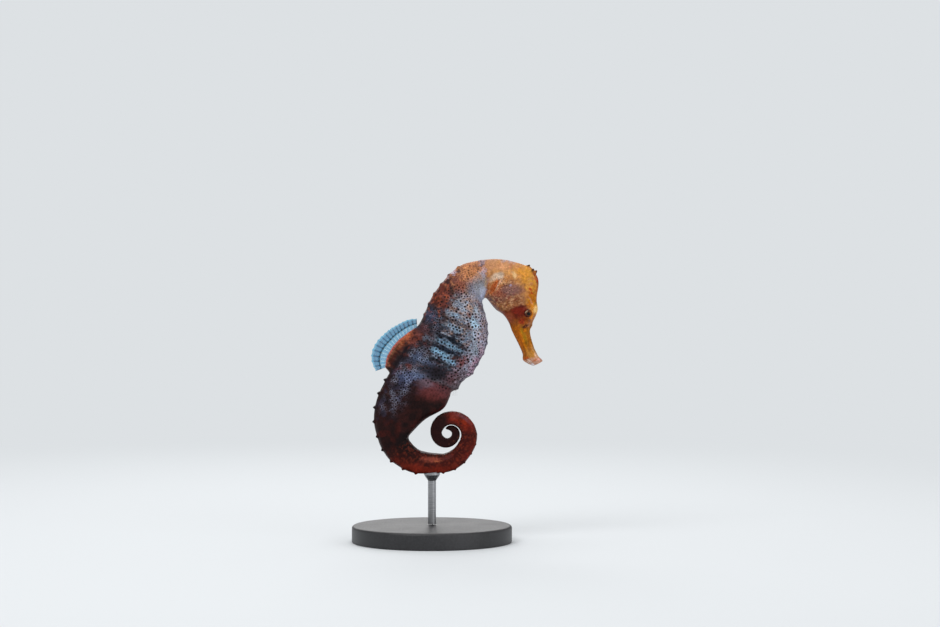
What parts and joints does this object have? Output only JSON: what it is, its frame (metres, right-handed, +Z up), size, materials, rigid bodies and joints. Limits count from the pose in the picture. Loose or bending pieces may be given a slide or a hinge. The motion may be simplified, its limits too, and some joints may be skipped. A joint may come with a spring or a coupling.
{
  "type": "longsnout seahorse",
  "caption": "Life-size model of a male longsnout seahorse, tail curled in a tight coil and head bowed, on a round display stand.",
  "frame": {"origin": "centre of the flat underside of the display stand's base", "axes": "+X the way the animal faces, +Y towards its left side, +Z up; the animal is symmetric about the XZ plane"},
  "size_m": [0.0572, 0.048, 0.0847],
  "materials": {
    "head_skin": "moist orange-yellow skin over bone",
    "body_skin": "moist grey-lilac and brown skin over bony rings, with small dark dots",
    "tail_skin": "moist dark red-brown skin over bony rings",
    "eye": "clear wet eye",
    "fin": "thin translucent membrane between fine rays",
    "stand_base": "satin black",
    "stand_rod": "brushed steel"
  },
  "bodies": {
    "root": {"snout": "head_skin", "head": "head_skin", "coronet": "head_skin", "eye_left": "eye", "eye_right": "eye", "neck": "body_skin", "trunk_upper": "body_skin", "trunk_lower": "body_skin", "brood_pouch": "tail_skin", "tail_1": "tail_skin", "tail_2": "tail_skin", "tail_3": "tail_skin", "tail_4": "tail_skin", "tail_5": "tail_skin", "tail_6": "tail_skin", "tail_7": "tail_skin", "tail_8": "tail_skin", "dorsal_fin_base": "body_skin", "dorsal_fin": "fin", "anal_fin": "fin", "pectoral_fin_left": "fin", "pectoral_fin_right": "fin", "stand_base": "stand_base", "stand_rod": "stand_rod"}
  },
  "joints": []
}
